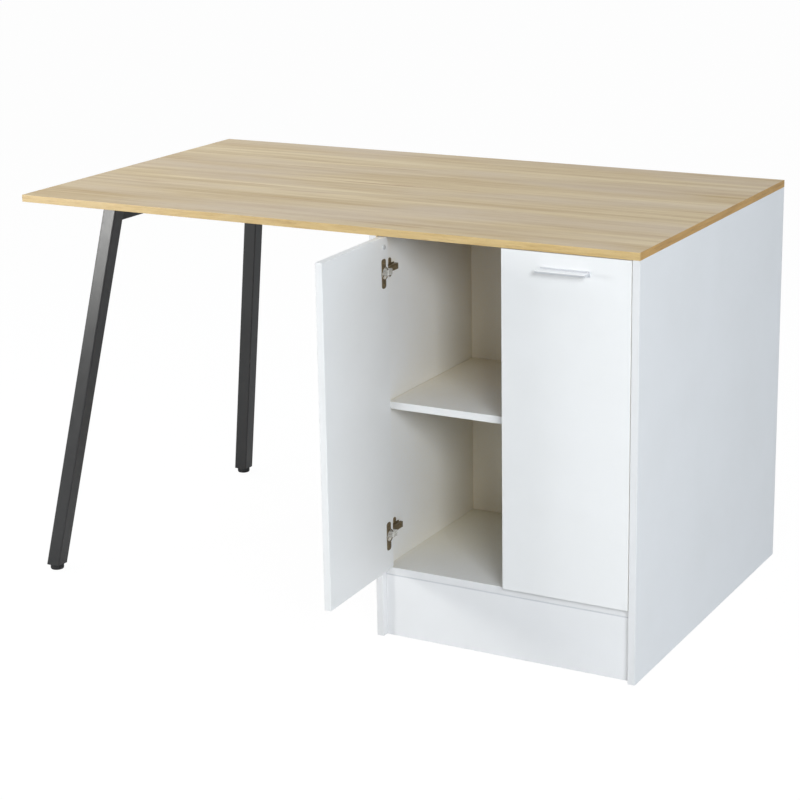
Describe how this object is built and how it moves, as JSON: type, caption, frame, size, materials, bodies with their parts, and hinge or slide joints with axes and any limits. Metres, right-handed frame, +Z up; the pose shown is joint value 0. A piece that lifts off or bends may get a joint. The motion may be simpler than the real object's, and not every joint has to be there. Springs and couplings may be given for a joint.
{
  "type": "kitchen island",
  "caption": "Kitchen island table: oak-look worktop on a white floor-standing cabinet with inset hinged doors and shelves, and on a slanted square-tube leg frame at the open end.",
  "frame": {"origin": "centre of the bottom of the bounding box at rest, on the floor, with the left door open", "axes": "+X along the worktop from the legs to the cabinet, +Y from the doors to the rear niche, +Z up"},
  "size_m": [1.5, 1.1169, 0.9],
  "materials": {
    "worktop_wood": "matt light oak decor, grain along the length",
    "worktop_edge": "matt light oak edge band",
    "white_board": "white faced board, fine texture",
    "handle_aluminium": "satin",
    "hinge_bronze": "antique bronze plating",
    "hinge_nickel": "nickel plating",
    "fixing_steel": "zinc plated",
    "cam_zinc": "die cast",
    "dowel_beech": "raw beech",
    "buffer_rubber": "translucent grey",
    "leg_black": "satin black powder coat",
    "foot_plastic": "black"
  },
  "bodies": {
    "cabinet": {"worktop_board": "worktop_wood", "worktop_front_edging": "worktop_edge", "worktop_rear_edging": "worktop_edge", "worktop_left_edging": "worktop_edge", "worktop_right_edging": "worktop_edge", "left_side_panel": "white_board", "right_side_panel": "white_board", "floor_panel": "white_board", "front_plinth": "white_board", "rear_plinth": "white_board", "divider_panel": "white_board", "front_top_rail": "white_board", "rear_top_rail": "white_board", "front_shelf": "white_board", "rear_shelf": "white_board", "left_upper_hinge_arm": "hinge_bronze", "left_lower_hinge_arm": "hinge_bronze", "right_upper_hinge_arm": "hinge_bronze", "right_lower_hinge_arm": "hinge_bronze", "left_hinge_plates": "hinge_bronze", "right_hinge_plates": "hinge_bronze", "plate_screws": "hinge_bronze", "arm_screws": "hinge_bronze", "left_upper_hinge_neck": "hinge_nickel", "left_lower_hinge_neck": "hinge_nickel", "right_upper_hinge_neck": "hinge_nickel", "right_lower_hinge_neck": "hinge_nickel", "worktop_screws": "fixing_steel", "cam_bolts": "fixing_steel", "shelf_pins": "fixing_steel", "cam_housings": "cam_zinc", "carcass_dowels": "dowel_beech", "front_leg": "leg_black", "rear_leg": "leg_black", "leg_cross_rail": "leg_black", "front_mounting_plate": "leg_black", "rear_mounting_plate": "leg_black", "leg_plate_screws": "leg_black", "front_foot_insert": "foot_plastic", "rear_foot_insert": "foot_plastic"},
    "left_door": {"left_door": "white_board", "left_handle": "handle_aluminium", "left_handle_screws": "fixing_steel", "left_door_buffer": "buffer_rubber", "left_upper_hinge_cup": "hinge_bronze", "left_lower_hinge_cup": "hinge_bronze", "left_hinge_pins": "fixing_steel", "left_cup_screws": "hinge_bronze"},
    "right_door": {"right_door": "white_board", "right_handle": "handle_aluminium", "right_handle_screws": "fixing_steel", "right_door_buffer": "buffer_rubber", "right_upper_hinge_cup": "hinge_bronze", "right_lower_hinge_cup": "hinge_bronze", "right_hinge_pins": "fixing_steel", "right_cup_screws": "hinge_bronze"},
    "front_foot": {"front_levelling_foot": "foot_plastic"},
    "rear_foot": {"rear_levelling_foot": "foot_plastic"}
  },
  "joints": [
    {"name": "left_door_hinge", "type": "hinge", "parent": "cabinet", "child": "left_door", "pos_m": [0.176, -0.28604, 0.5209], "axis": [0, 0, 1], "range_deg": [-12, 88]},
    {"name": "right_door_hinge", "type": "hinge", "parent": "cabinet", "child": "right_door", "pos_m": [0.724, -0.28604, 0.5209], "axis": [0, 0, 1], "range_deg": [0, 100]},
    {"name": "front_foot_slide", "type": "slide", "parent": "cabinet", "child": "front_foot", "axis": [0, 0, -1], "range_m": [0, 0.01]},
    {"name": "rear_foot_slide", "type": "slide", "parent": "cabinet", "child": "rear_foot", "axis": [0, 0, -1], "range_m": [0, 0.01]}
  ]
}
